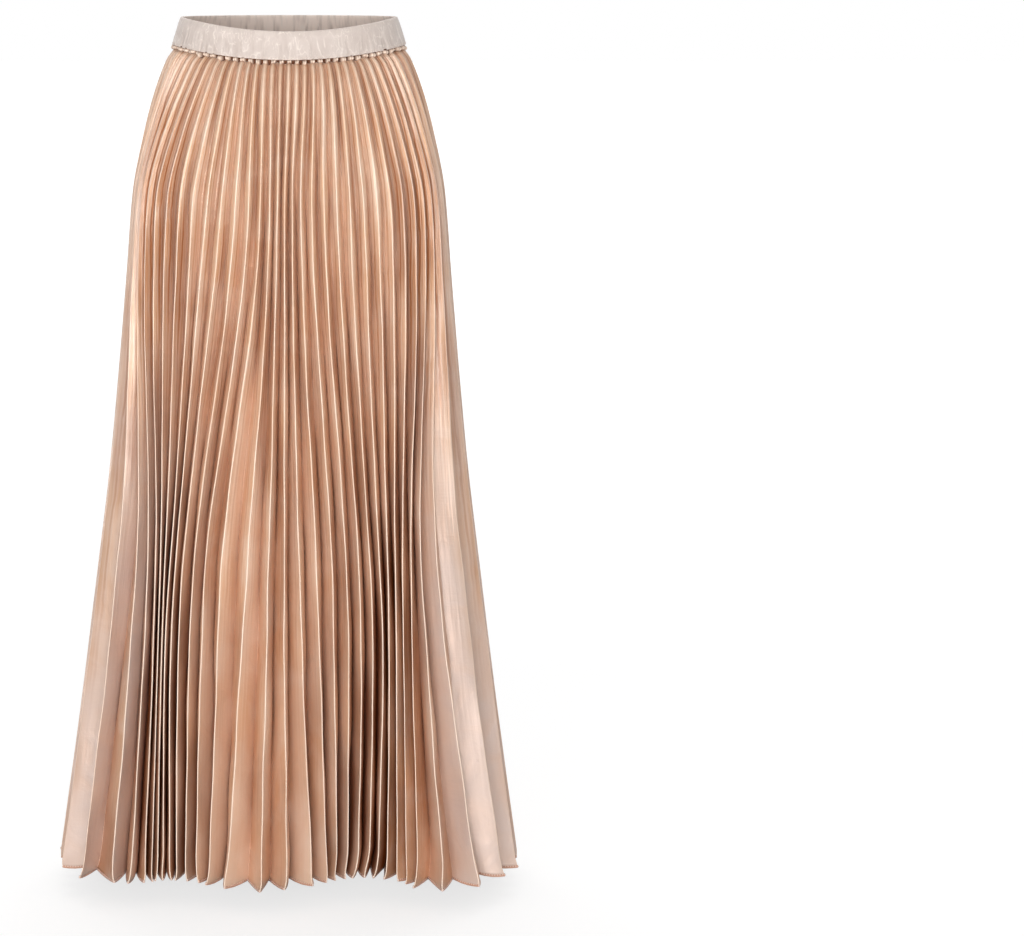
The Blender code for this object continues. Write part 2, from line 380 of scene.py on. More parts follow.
class Sheet:
    """A shorthand for laying out the nodes of a material, a world or a node group."""

    def __init__(self, tree: bpy.types.NodeTree) -> None:
        """Keep the tree that the nodes go into."""
        self.tree = tree

    def add(self, kind: str, **settings: Any) -> bpy.types.Node:
        """Add a node.

        Args:
            kind: Blender's name of the node type.
            **settings: Properties of the node, by name.

        Returns:
            The new node.
        """
        node = self.tree.nodes.new(kind)
        for key, value in settings.items():
            setattr(node, key, value)
        return node

    def feed(self, target: Socket, value: Any) -> None:
        """Feed an input.

        Args:
            target: The input.
            value: An output to join to it, or a constant to set it to.
        """
        if isinstance(value, Socket):
            self.tree.links.new(value, target)
        else:
            target.default_value = value

    def constants(self, node: bpy.types.Node, values: dict[str, Any]) -> bpy.types.Node:
        """Set inputs of a node to constants.

        Args:
            node: The node.
            values: Constants by the names of the inputs.

        Returns:
            The same node.
        """
        for key, value in values.items():
            node.inputs[key].default_value = value
        return node

    def math(self, operation: str, first: Any, second: Any) -> Socket:
        """Add a Math node.

        Args:
            operation: Blender's name of the operation.
            first: A number or an output.
            second: The same.

        Returns:
            Its result.
        """
        node = self.add("ShaderNodeMath", operation=operation)
        self.feed(node.inputs[0], first)
        self.feed(node.inputs[1], second)
        return node.outputs[0]

    def times(self, first: Any, *others: Any) -> Socket:
        """Multiply numbers and outputs.

        Args:
            first: A number or an output.
            *others: What it is multiplied by.

        Returns:
            The product.
        """
        for other in others:
            first = self.math("MULTIPLY", first, other)
        return first

    def larger(self, first: Any, second: Any) -> Socket:
        """The larger of two values."""
        return self.math("MAXIMUM", first, second)

    def ramp(self, value: Socket, low: float, high: float,
             to: tuple[float, float] = (0.0, 1.0)) -> Socket:
        """Map a value from one range to another, held at the ends.

        Args:
            value: The value.
            low: Start of its range.
            high: End of its range.
            to: Start and end of the new range.

        Returns:
            The mapped value.
        """
        node = self.constants(self.add("ShaderNodeMapRange"), {
            "From Min": low, "From Max": high, "To Min": to[0], "To Max": to[1]})
        self.feed(node.inputs["Value"], value)
        return node.outputs["Result"]

    def mix(self, share: Socket, first: Any, second: Any) -> Socket:
        """Mix two colours.

        Args:
            share: How much of the second colour there is, 0 to 1.
            first: A colour or an output.
            second: The same.

        Returns:
            The mixed colour.
        """
        node = self.add("ShaderNodeMix", data_type="RGBA")
        self.feed(node.inputs["Factor"], share)
        for key, value in (("A", first), ("B", second)):
            self.feed([s for s in node.inputs if s.name == key and s.type == "RGBA"][0], value)
        return [s for s in node.outputs if s.type == "RGBA"][0]

    def mapped(self, vector: Socket, scale: tuple[float, float, float]) -> Socket:
        """Stretch coordinates along their axes.

        Args:
            vector: The coordinates.
            scale: The stretch along each axis.

        Returns:
            The stretched coordinates.
        """
        node = self.constants(self.add("ShaderNodeMapping"), {"Scale": scale})
        self.feed(node.inputs["Vector"], vector)
        return node.outputs[0]

    def painted(self, name: str) -> Socket:
        """The value of a float attribute of the piece."""
        return self.add("ShaderNodeAttribute", attribute_name=name).outputs["Fac"]

    def cloth_map(self, name: str = "cloth") -> Socket:
        """The piece's UV map, in metres along the cloth."""
        return self.add("ShaderNodeUVMap", uv_map=name).outputs["UV"]

    def place(self) -> Socket:
        """The place on the piece, in metres."""
        return self.add("ShaderNodeTexCoord").outputs["Object"]


class GroupKind(Enum):
    """Effects that more than one finish uses."""

    THREADS = "satin_threads"
    CLOUDS = "cloth_clouds"


class Effects:
    """The shared shader node groups, each built once."""

    def __init__(self) -> None:
        """Build the groups."""
        self.groups = {
            GroupKind.THREADS: self._threads(),
            GroupKind.CLOUDS: self._clouds(),
        }

    @staticmethod
    def _start(kind: GroupKind, amount: str,
               outputs: Sequence[str]) -> tuple[Sheet, Any, Any]:
        """Start a group that reads coordinates and one amount.

        Args:
            kind: Which effect it is.
            amount: Name of the amount.
            outputs: Names of the float outputs.

        Returns:
            The sheet, the group's input node and its output node.
        """
        tree = bpy.data.node_groups.new(kind.value, "ShaderNodeTree")
        tree.interface.new_socket("Vector", in_out="INPUT", socket_type="NodeSocketVector")
        tree.interface.new_socket(amount, in_out="INPUT", socket_type="NodeSocketFloat")
        for name in outputs:
            tree.interface.new_socket(name, in_out="OUTPUT", socket_type="NodeSocketFloat")
        sheet = Sheet(tree)
        return sheet, sheet.add("NodeGroupInput"), sheet.add("NodeGroupOutput")

    def _threads(self) -> bpy.types.NodeTree:
        """Fine threads along the cloth's length, crossed by fainter ones."""
        sheet, given, out = self._start(GroupKind.THREADS, "Threads", ["Height", "Streak"])
        scaled = sheet.add("ShaderNodeVectorMath", operation="SCALE")
        sheet.feed(scaled.inputs[0], given.outputs["Vector"])
        sheet.feed(scaled.inputs["Scale"], given.outputs["Threads"])
        heights = []
        for stretch in ((1.0, 0.03, 1.0), (0.05, 0.8, 1.0)):
            noise = sheet.constants(sheet.add("ShaderNodeTexNoise"), {"Scale": 1.0, "Detail": 2.0})
            sheet.feed(noise.inputs["Vector"], sheet.mapped(scaled.outputs[0], stretch))
            heights.append(noise.outputs["Fac"])
        height = sheet.math("ADD", heights[0], sheet.times(heights[1], 0.35))
        sheet.feed(out.inputs["Height"], height)
        sheet.feed(out.inputs["Streak"], heights[0])
        return sheet.tree

    def _clouds(self) -> bpy.types.NodeTree:
        """Soft cloudy patches, as satin shows where it is not quite flat."""
        sheet, given, out = self._start(GroupKind.CLOUDS, "Size", ["Cloud", "Wrinkle"])
        inverse = sheet.math("DIVIDE", 1.0, given.outputs["Size"])
        for name, detail, warp in (("Cloud", 3.0, 0.6), ("Wrinkle", 5.0, 1.6)):
            noise = sheet.constants(sheet.add("ShaderNodeTexNoise"),
                                    {"Detail": detail, "Distortion": warp})
            sheet.feed(noise.inputs["Vector"], given.outputs["Vector"])
            sheet.feed(noise.inputs["Scale"], inverse)
            sheet.feed(out.inputs[name], noise.outputs["Fac"])
        return sheet.tree

    def put(self, sheet: Sheet, kind: GroupKind, vector: Socket, amount: float) -> Any:
        """Put a group into a material.

        Args:
            sheet: The material's sheet.
            kind: Which effect.
            vector: Coordinates that it reads, in metres.
            amount: Its thread count per metre or its patch size in metres.

        Returns:
            The group's outputs, by name.
        """
        node = sheet.add("ShaderNodeGroup")
        node.node_tree = self.groups[kind]
        sheet.feed(node.inputs["Vector"], vector)
        node.inputs[1].default_value = amount
        return node.outputs


@dataclass(frozen=True)
class Finish:
    """A cloth or thread finish: its name, its colour and how rough it is."""

    name: str
    body: Colour
    roughness: float

    def start(self) -> tuple[bpy.types.Material, Sheet, bpy.types.Node]:
        """Start the material.

        Returns:
            The material, its sheet and its shader.
        """
        material = bpy.data.materials.new(self.name)
        material.use_nodes = True
        material.diffuse_color = self.body
        return material, Sheet(material.node_tree), material.node_tree.nodes["Principled BSDF"]

    def roughen(self, sheet: Sheet, shader: bpy.types.Node, value: Socket,
                spread: tuple[float, float]) -> None:
        """Vary the roughness by a noise between 0.3 and 0.7.

        Args:
            sheet: The material's sheet.
            shader: Its shader.
            value: The noise.
            spread: What is added to the finish's roughness at the noise's two ends.
        """
        ends = (self.roughness + spread[0], self.roughness + spread[1])
        sheet.feed(shader.inputs["Roughness"], sheet.ramp(value, 0.3, 0.7, ends))

    @staticmethod
    def emboss(sheet: Sheet, shader: bpy.types.Node, height: Socket, strength: float,
               distance: float) -> None:
        """Raise the surface by a height.

        Args:
            sheet: The material's sheet.
            shader: Its shader.
            height: The height.
            strength: The bump's strength.
            distance: The bump's reach in metres.
        """
        bump = sheet.constants(sheet.add("ShaderNodeBump"),
                               {"Strength": strength, "Distance": distance})
        sheet.feed(bump.inputs["Height"], height)
        sheet.feed(shader.inputs["Normal"], bump.outputs["Normal"])


@dataclass(frozen=True)
class PleatedSatin(Finish):
    """Rose satin with painted light: shade in the depths, sheen, and a cream line on the folds."""

    name: str = "pleated_satin"
    body: Colour = (0.75, 0.455, 0.275, 1.0)
    roughness: float = 0.42
    # colour of the painted shade in the folds' depths
    deep: Colour = (0.33, 0.092, 0.018, 1.0)
    # colour of painted highlights and sheen
    pale: Colour = (0.88, 0.68, 0.54, 1.0)
    # colour of the grey-pink painted sheen
    bloom: Colour = (0.64, 0.50, 0.435, 1.0)
    # colour of the painted highlight lines on the folds, with a little rubbed wear
    highlight_line: Colour = (0.92, 0.77, 0.65, 1.0)
    lustre: Colour = (0.82, 0.55, 0.38, 1.0)
    patch_size: float = 0.042
    sheen_size: float = 0.03
    weave_count: float = 2600.0
    streak_count: float = 330.0

    def dress(self, effects: Effects) -> bpy.types.Material:
        """Build the material.

        Args:
            effects: The shared node groups.

        Returns:
            The satin, which reads the piece's UV maps and its painted values of light, shade and
            folds.
        """
        material, sheet, shader = self.start()
        pleats = sheet.cloth_map("pleats")
        drawn = sheet.mapped(pleats, (1.5, 0.28, 1.0))
        clouds = effects.put(sheet, GroupKind.CLOUDS, sheet.place(), self.patch_size)
        glow = effects.put(sheet, GroupKind.CLOUDS, drawn, self.sheen_size)["Cloud"]
        threads = effects.put(sheet, GroupKind.THREADS, sheet.cloth_map(), self.weave_count)
        streaks = effects.put(sheet, GroupKind.THREADS, pleats, self.streak_count)
        fine, tone, tight, depth, bloom, ridge, valley = (sheet.painted(name) for name in (
            "fine", "tone", "tight", "depth", "bloom", "ridge", "valley"))

        # Painted highlight and sheen: pale patches and a pale sheen that lie at random, pale faces
        # where the painted light is high, and pale streaks down the cloth
        patch = sheet.ramp(clouds["Cloud"], 0.46, 0.70, (0.0, 0.42))
        colour = sheet.mix(patch, self.body, self.pale)
        sheen = sheet.ramp(glow, 0.48, 0.74, (0.0, 0.50))
        sheen = sheet.times(sheen, sheet.ramp(fine, 0.2, 1.0, (1.0, 0.4)))
        colour = sheet.mix(sheen, colour, self.pale)
        colour = sheet.mix(sheet.ramp(tone, 0.0, 1.0, (0.0, 0.48)), colour, self.pale)
        streak = sheet.ramp(streaks["Streak"], 0.48, 0.68, (0.0, 0.60))
        colour = sheet.mix(sheet.times(streak, fine), colour, self.pale)

        # Painted highlights: two fine bright lines down each face, which wander a little. Painted
        # shade: a dark line between them, and faces where the painted light is low; dark streaks
        # join them
        wander = sheet.math("ADD", depth, sheet.ramp(clouds["Cloud"], 0.3, 0.7, (-0.06, 0.06)))
        lines = []
        for level, wide in ((0.36, 0.05), (0.67, 0.06), (0.52, 0.09)):
            off = sheet.math("ABSOLUTE", sheet.math("SUBTRACT", wander, level), 0.0)
            lines.append(sheet.ramp(off, wide * 0.3, wide, (1.0, 0.0)))
        bright_lines = sheet.times(sheet.larger(lines[0], lines[1]), fine, 0.62)
        colour = sheet.mix(bright_lines, colour, self.highlight_line)
        dark = sheet.ramp(streaks["Streak"], 0.28, 0.47, (0.38, 0.0))
        dark = sheet.times(sheet.larger(dark, sheet.times(lines[2], 0.42)), fine)
        dark = sheet.math("ADD", dark, sheet.ramp(tone, -1.0, 0.0, (0.48, 0.0)))

        # Painted shade in the folds' depths, stronger where the pleats pack tight, a grey-pink
        # painted sheen, and a cream painted highlight along the folds
        depth = sheet.times(depth, sheet.ramp(tight, 0.0, 0.7, (0.20, 1.0)))
        colour = sheet.mix(sheet.larger(depth, dark), colour, self.deep)
        bloom = sheet.times(bloom, sheet.ramp(clouds["Wrinkle"], 0.35, 0.65, (0.80, 1.0)))
        colour = sheet.mix(bloom, colour, self.bloom)
        line = sheet.times(ridge, sheet.ramp(tight, 0.0, 0.6, (0.62, 0.95)))
        fold_highlight = sheet.larger(sheet.times(valley, 0.8), line)
        sheet.feed(shader.inputs["Base Color"], sheet.mix(fold_highlight, colour, self.highlight_line))

        # The gloss is weaker in depths, on folds, between packed pleats and on the painted sheen
        gloss = sheet.times(
            sheet.ramp(clouds["Cloud"], 0.35, 0.65, (0.6, 1.0)),
            sheet.math("SUBTRACT", 1.0, depth),
            sheet.ramp(ridge, 0.0, 1.0, (1.0, 0.25)),
            sheet.ramp(tight, 0.0, 1.0, (1.0, 0.15)),
            sheet.ramp(bloom, 0.0, 1.0, (1.0, 0.55)))
        sheet.feed(shader.inputs["Coat Weight"], gloss)
        self.roughen(sheet, shader, clouds["Wrinkle"], (-0.05, 0.07))
        sheet.constants(shader, {
            "Coat Roughness": 0.43, "Coat IOR": 1.8, "Specular IOR Level": 0.2,
            "Specular Tint": self.lustre, "Metallic": 0.22, "Anisotropic": 0.55,
            "Anisotropic Rotation": 0.25})
        weave = sheet.times(threads["Height"], 0.2)
        height = sheet.math("ADD", weave, sheet.times(clouds["Wrinkle"], 3.5))
        height = sheet.math("ADD", height, sheet.times(streaks["Height"], 4.0, fine))
        self.emboss(sheet, shader, height, 0.6, 0.0005)
        return material


@dataclass(frozen=True)
class CrinkledCasing(Finish):
    """Matt pale pink casing over the elastic, with painted light on its crinkles and puckers."""

    name: str = "waistband_casing"
    body: Colour = (0.68, 0.585, 0.53, 1.0)
    roughness: float = 0.72
    # colour of the cream painted highlights on the crinkles
    crease: Colour = (0.95, 0.86, 0.78, 1.0)
    # colour of the painted shade in the puckers, also of the casing's random patches
    shade: Colour = (0.50, 0.405, 0.36, 1.0)
    # colour of the inner face, made paler as painted light
    inside: Colour = (1.0, 0.86, 0.77, 1.0)

    def dress(self, effects: Effects) -> bpy.types.Material:
        """Build the material.

        Args:
            effects: The shared node groups.

        Returns:
            The casing's cloth, which reads its painted crinkle highlights and pucker shade.
        """
        material, sheet, shader = self.start()
        clouds = effects.put(sheet, GroupKind.CLOUDS, sheet.place(), 0.016)
        threads = effects.put(sheet, GroupKind.THREADS, sheet.cloth_map(), 1900.0)
        patch = sheet.ramp(clouds["Cloud"], 0.35, 0.7, (0.0, 0.38))
        colour = sheet.mix(patch, self.body, self.shade)
        # Painted light: a paler inside, painted shade in the puckers, cream highlights on the
        # crinkles
        tints = {"inner": self.inside, "pucker": self.shade, "crinkle": self.crease}
        for name, tint in tints.items():
            colour = sheet.mix(sheet.painted(name), colour, tint)
        sheet.feed(shader.inputs["Base Color"], colour)
        self.roughen(sheet, shader, threads["Streak"], (-0.06, 0.06))
        sheet.constants(shader, {"Sheen Weight": 0.25, "Sheen Roughness": 0.5})
        raised = sheet.math("ADD", sheet.times(clouds["Wrinkle"], 3.0), threads["Height"])
        self.emboss(sheet, shader, raised, 0.4, 0.0003)
        return material


@dataclass(frozen=True)
class RolledEdge(Finish):
    """The hem's rolled edge: pink satin crossed by the small stitches that hold it."""

    name: str = "rolled_hem_satin"
    body: Colour = (0.52, 0.27, 0.18, 1.0)
    roughness: float = 0.45
    thread: Colour = (0.97, 0.84, 0.75, 1.0)
    stitch_turns: float = 2094.4  # radians for each metre, a stitch for each 3 mm

    def dress(self, effects: Effects) -> bpy.types.Material:
        """Build the material.

        Args:
            effects: The shared node groups.

        Returns:
            The hem's cloth, with stitches along its UV map.
        """
        material, sheet, shader = self.start()
        cloth = sheet.cloth_map()
        threads = effects.put(sheet, GroupKind.THREADS, cloth, 2600.0)
        along = sheet.add("ShaderNodeSeparateXYZ")
        sheet.feed(along.inputs[0], cloth)
        turns = sheet.times(along.outputs["X"], self.stitch_turns)
        dash = sheet.ramp(sheet.math("SINE", turns, 0.0), -0.2, 0.5)
        stitch = sheet.times(dash, sheet.painted("stitch"))
        # Paler where an outer fold meets the hem, carrying on its painted highlight line, and
        # along the roll's underside
        colour = sheet.mix(sheet.painted("edge"), self.body, self.thread)
        colour = sheet.mix(sheet.times(stitch, 0.45), colour, self.thread)
        sheet.feed(shader.inputs["Base Color"], colour)
        self.roughen(sheet, shader, threads["Streak"], (-0.05, 0.05))
        sheet.constants(shader, {"Sheen Weight": 0.3})
        self.emboss(sheet, shader, sheet.math("ADD", stitch, threads["Height"]), 0.5, 0.0003)
        return material


@dataclass(frozen=True)
class SewingThread(Finish):
    """Twisted thread of the waistband's stitch line."""

    name: str = "sewing_thread"
    body: Colour = (0.62, 0.50, 0.43, 1.0)
    roughness: float = 0.6
    light: Colour = (0.80, 0.68, 0.60, 1.0)

    def dress(self, effects: Effects) -> bpy.types.Material:
        """Build the material.

        Args:
            effects: The shared node groups.

        Returns:
            The thread, slightly uneven in colour.
        """
        material, sheet, shader = self.start()
        twist = effects.put(sheet, GroupKind.THREADS, sheet.place(), 3000.0)
        share = sheet.ramp(twist["Streak"], 0.3, 0.7)
        sheet.feed(shader.inputs["Base Color"], sheet.mix(share, self.body, self.light))
        sheet.constants(shader, {"Roughness": self.roughness})
        return material


# ---------------------------------------------------------------- cloth


@dataclass
class SkirtPlan:
    """Sizes that the pleated front and back share, read at any drop below the waist seam."""

    pleat_at_waist: float = 0.0095  # width of a pleat's face
    pleat_at_hem: float = 0.040
    shallowest: float = 0.003  # least depth of a pleat
    hang_back_from: float = 0.30  # drop from which folds hang behind the oval
    dip_fades_by: float = 0.25  # drop at which the waist's front dip has faded out
    ridge_drop: float = 0.003  # how far outer folds reach below inner ones at the hem
    straight_back: float = 0.6  # pull of inner folds towards straight back, in front
    seam_gap: float = 0.0005

    def opened(self, drops: Grid) -> Grid:
        """How far the pleats have opened, eased from 0 at 0.3 m to 1 at 0.7 m down."""
        return smooth_step((drops - 0.3) / 0.4)

    def drops(self, rows: int) -> Grid:
        """Drops of the rows, closer at the waist and the hem: L (u - 0.085 sin 2 pi u)."""
        u = np.linspace(0.0, 1.0, rows)
        return SKIRT_LENGTH * (u - 0.085 * np.sin(2 * math.pi * u))

    def rings(self, drops: Grid) -> Grid:
        """Half width, front depth, back depth and boxy at each drop, shape (rows, 4)."""
        return smooth_through(SKIRT_RINGS[:, 0], SKIRT_RINGS[:, 1:], drops)

    def pleat_face(self, drops: Grid) -> Grid:
        """Width of a pleat's face at each drop."""
        return blend(self.pleat_at_waist, self.pleat_at_hem, drops / SKIRT_LENGTH)

    def fold_depth(self, face: Grid, run: Grid) -> Grid:
        """Depth of a face that runs this far along: sqrt(face^2 - run^2), never too small."""
        return np.sqrt(np.maximum(face ** 2 - run ** 2, self.shallowest ** 2))

    def places(self, folds: Grid, drops: Grid) -> Grid:
        """Place across of each outer fold at each drop, shape (rows, folds)."""
        levels = np.stack([even_places(len(folds)), *(folds[:, :3].T / 100)])
        return smooth_through(FOLD_LEVELS, levels, drops)

    def on_oval(self, places: Grid, drops: Grid, depth: Grid) -> Grid:
        """Points of the oval: x = w (2p - 1), y = d (1 - |x / w|^b)^(1 / b), Y outwards.

        Args:
            places: Places across, shape (rows, n).
            drops: Drops of the rows.
            depth: The oval's depth in each row.

        Returns:
            Points, shape (rows, n, 2).
        """
        ring = self.rings(drops)
        share = 2 * places - 1
        boxy = ring[:, 3:4]
        reach = np.maximum(1 - np.abs(share) ** boxy, 0.0) ** (1 / boxy)
        return stacked(ring[:, 0:1] * share, depth[:, None] * reach)

    def seam_half_width(self, drops: Grid) -> Grid:
        """Find the side seams, an inner fold that the front and back share.

        Args:
            drops: Drops of the rows.

        Returns:
            Half the width from seam to seam in each row.
        """
        ring = self.rings(drops)
        first = self.places(FRONT_FOLDS, drops)[:, :1]
        nearest = self.on_oval(first, drops, (ring[:, 1] + ring[:, 2]) / 2)[:, 0]
        return -nearest[:, 0] - self.fold_depth(self.pleat_face(drops), nearest[:, 1])


@dataclass
class PleatedPanel:
    """One sewn side of the skirt: a sheet of satin in sunray pleats, with its rolled hem."""

    side: Side
    folds: Grid
    plan: SkirtPlan
    rows: int = 92
    face_shares: tuple[float, ...] = (0.20, 0.44, 0.72)  # columns within a face
    crease: float = 0.0006  # distance of the column that holds a fold sharp
    crest: float = 0.0008  # width of an outer fold's blunt crest
    crest_round: float = 0.0002
    cloth: float = 0.0004
    pinch: float = 0.0028  # how far folds are pinched in at the waist seam
    pinch_over: float = 0.011
    flick_over: float = 0.034  # heights above the hem where folds flick and hook aside
    hook_over: float = 0.012
    hook: float = 0.0016
    sway: float = 0.028  # sideways wander of a fold, as a share of the gap
    scallop: float = 0.0017  # how far the middle of a face sags at the hem
    hem_high: float = 0.0032
    hem_thick: float = 0.0013
    hem_round: float = 0.006
    map_across: float = 0.02
    hip_drop: float = 0.19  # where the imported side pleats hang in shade
    knee_drop: float = 0.40
    shade_spread: float = 0.11

    @property
    def label(self) -> str:
        """The side's name in lower case."""
        return self.side.name.lower()

    @property
    def face_columns(self) -> int:
        """Columns from the middle of a crest to the next inner fold."""
        return len(self.face_shares) + 4

    def outer_folds(self, drops: Grid) -> Grid:
        """Outer folds in plan, with Y outwards.

        The folds lie on the oval, less how far each hangs back, which grows evenly to the
        hem, and are pinched in under the waistband and flicked aside at the hem.

        Args:
            drops: Drops of the rows.

        Returns:
            Points, shape (rows, folds, 2).
        """
        plan = self.plan
        ring = plan.rings(drops)
        depth = ring[:, 1] if self.side is Side.FRONT else ring[:, 2]
        points = plan.on_oval(plan.places(self.folds, drops), drops, depth)
        growth = np.maximum(drops - plan.hang_back_from, 0) / (SKIRT_LENGTH - plan.hang_back_from)
        points[..., 1] -= growth[:, None] * self.folds[:, 3] / 1000
        tight = self.pinch * np.maximum(1 - drops / self.pinch_over, 0) ** 1.5
        points *= 1 - (tight / ring[:, 0])[:, None, None]
        index = np.arange(len(self.folds))
        late = np.maximum(1 - (SKIRT_LENGTH - drops) / self.flick_over, 0) ** 1.6
        gap = np.gradient(points[..., 0], axis=1)
        sway = self.sway * gap * ripple(index, drops[:, None])
        sway = sway * smooth_step(drops / 0.12)[:, None]
        tip = np.maximum(1 - (SKIRT_LENGTH - drops) / self.hook_over, 0)[:, None] ** 2
        curl = self.hook * tip * np.sign(np.sin(index * 2.3 + 0.6))
        points[..., 0] += late[:, None] * self.folds[:, 5] / 1000 + sway + curl
        return points

    def inner_folds(self, outer: Grid, drops: Grid) -> Grid:
        """Inner folds in plan, the two side seams among them.

        An inner fold lies behind the middle of its neighbours, as deep as the pleat's width
        allows, square to them but pulled towards straight back in front.

        Args:
            outer: Outer folds, shape (rows, folds, 2).
            drops: Drops of the rows.

        Returns:
            Points, shape (rows, folds + 1, 2).
        """
        plan = self.plan
        face = plan.pleat_face(drops)[:, None]
        chord = np.diff(outer, axis=1)
        count = outer.shape[1]
        before = outer[:, np.maximum(np.arange(count - 1) - 1, 0)]
        after = outer[:, np.minimum(np.arange(count - 1) + 2, count - 1)]
        along = unit(after - before)
        straight = plan.straight_back * along[..., 0] ** 2
        inward = unit(stacked(along[..., 1] * (1 - straight),
                              -along[..., 0] * (1 - straight) - straight))
        run = np.linalg.norm(chord, axis=-1) / 2
        deep = plan.fold_depth(face, run)[..., None]
        middle = 0.5 + self.folds[:-1, 4][None, :, None] * plan.opened(drops)[:, None, None]
        inner = outer[:, :-1] + chord * middle + inward * deep
        seam_x = plan.seam_half_width(drops)
        seam_y = np.full_like(seam_x, plan.seam_gap)
        first = stacked(-seam_x, seam_y)[:, None]
        last = stacked(seam_x, seam_y)[:, None]
        return np.concatenate([first, inner, last], axis=1)

    def faces(self, outer: Grid, inner: Grid, drops: Grid) -> tuple[Grid, Grid]:
        """Points across every pleat face, from the left seam to the right seam.

        Every outer fold has a narrow blunt crest. From the crest's edge S a face goes to its
        inner fold V as S + a s + b f(s), where a is the part of V - S along the gap between
        the folds, b the part across it, and f runs from straight, at the hem, to a square,
        at the waist, where the pleats are soft rolls. A shallow bow is added that swells and
        fades down the cloth.

        Args:
            outer: Outer folds, shape (rows, folds, 2).
            inner: Inner folds and seams, shape (rows, folds + 1, 2).
            drops: Drops of the rows.

        Returns:
            Points in plan, shape (rows, columns, 2), and the share s of each from its outer
            fold, shape (rows, columns).
        """
        rows, count = outer.shape[:2]
        thin = (self.crease / self.plan.pleat_face(drops))[:, None]
        middle = np.broadcast_to(np.array(self.face_shares), (rows, len(self.face_shares)))
        shares = np.concatenate([thin * 0, thin, middle, 1 - thin, thin * 0 + 1], axis=1)
        chord = unit(np.diff(outer, axis=1))
        side_way = np.zeros_like(chord[:, :1])
        side_way[..., 1] = 1.0
        left_way = np.concatenate([side_way, chord], axis=1)
        right_way = np.concatenate([chord, side_way], axis=1)
        roll = np.interp(drops, [0.0, 0.1, 0.3, SKIRT_LENGTH], [0.9, 0.7, 0.4, 0.16])
        fall = blend(shares, shares ** 2, roll[:, None])[:, None, :, None]
        run = shares[:, None, :, None]
        gap = np.linalg.norm(np.diff(outer, axis=1), axis=-1)
        gap = np.concatenate([gap[:, :1], gap, gap[:, -1:]], axis=1)
        runs = []
        for way, ends, hand in ((left_way, inner[:, :-1], 0), (right_way, inner[:, 1:], 1)):
            start = outer + way * (hand - 0.5) * self.crest
            reach = ends - start
            start = start + unit(reach) * self.crest_round
            reach = ends - start
            along = np.sum(reach * way, axis=-1, keepdims=True) * way
            across = reach - along
            points = start[:, :, None] + along[:, :, None] * run + across[:, :, None] * fall
            swell = ripple(np.arange(count) * 2 + hand, drops[:, None] * 0.8)
            room = np.minimum(0.045 * np.linalg.norm(reach, axis=-1),
                              0.11 * gap[:, hand:hand + count])
            square = unit(stacked(reach[..., 1], -reach[..., 0]))
            bow = (swell * room)[..., None, None] * np.sin(math.pi * run)
            points = points + square[:, :, None] * bow
            runs.append(np.concatenate([outer[:, :, None], points], axis=2))
        shares = np.concatenate([thin * 0, shares], axis=1)
        left = runs[0][:, :, :0:-1]
        right = runs[1][:, :, :-1]
        joined = np.concatenate([left, right], axis=2)
        columns = np.concatenate([joined.reshape(rows, -1, 2), runs[1][:, -1:, -1]], axis=1)
        share = np.concatenate([shares[:, :0:-1], shares[:, :-1]], axis=1)
        return columns, np.concatenate([np.tile(share, count), shares[:, -1:]], axis=1)

    def surface(self) -> tuple[Grid, Grid, Grid, Grid]:
        """The whole panel in space.

        Returns:
            Points (rows, columns, 3), share from the outer fold (rows, columns), drops
            (rows,) and how far along the cloth each point is (rows, columns).
        """
        drops = self.plan.drops(self.rows)
        outer = self.outer_folds(drops)
        inner = self.inner_folds(outer, drops)
        flat, share = self.faces(outer, inner, drops)
        half = self.plan.rings(drops)[:, :1]
        place = np.clip((flat[..., 0] / half + 1) / 2, 0, 1)
        sunk = (drops / SKIRT_LENGTH)[:, None]
        z = SEAM_Z - SEAM_FALL - drops[:, None] - self.plan.ridge_drop * (1 - share) * sunk ** 2
        z = z - self.scallop * np.sin(math.pi * share) * sunk ** 10
        if self.side is Side.FRONT:
            z = z - front_dip(place) * np.maximum(1 - drops / self.plan.dip_fades_by, 0)[:, None]
        facing = self.side.value
        points = stacked(-facing * flat[..., 0], facing * flat[..., 1], z)
        along = running_sum(np.linalg.norm(np.diff(points, axis=1), axis=-1))
        return points, share, drops, along

    def build(self) -> tuple[bpy.types.Object, float, float]:
        """Make the pleated sheet.

        Returns:
            The object, its width along the hem and its cloth's area.
        """
        points, share, drops, along = self.surface()
        shape = points.shape[:2]
        maps = {"cloth": stacked(along, drops[:, None]), "pleats": self.pleat_map(share, drops)}
        low = by_row(drops, (0, 0.25, 0.6), (0, 0.2, 1))
        faint = by_row(drops, (0, 0.1, 0.3, 0.6), (1, 0.9, 0.5, 0.1))
        # Painted light: ridge and valley paint highlight lines on the folds, depth and tight paint
        # shade into the creases, and the face and sheen values paint light, shade and sheen.
        values = {
            "ridge": (share == 0.0) * blend(0.3 + 0.3 * self.flank(points, 0.3, 0.4), 1.0, low),
            "valley": (share > 0.9) * faint,
            "depth": share ** 1.1 * by_row(drops, (0.3, 0.65), (1, 1.6)),
            "tight": self.tightness(points, share, drops),
            "tone": self.painted_face_light(points, share, drops),
            "bloom": self.bloom(points, drops),
            "fine": by_row(drops, (0, 0.3, 0.6, 0.9), (1, 0.9, 0.5, 0.2)) + 0 * share,
        }
        piece = ClothMesh(f"{self.label}_pleats", points, grid_faces(*shape, False, False),
                          maps, values, self.cloth).build()
        area = float(np.sum(np.diff(drops) * (along[1:, -1] + along[:-1, -1]) / 2))
        return piece, float(along[-1, -1]), area

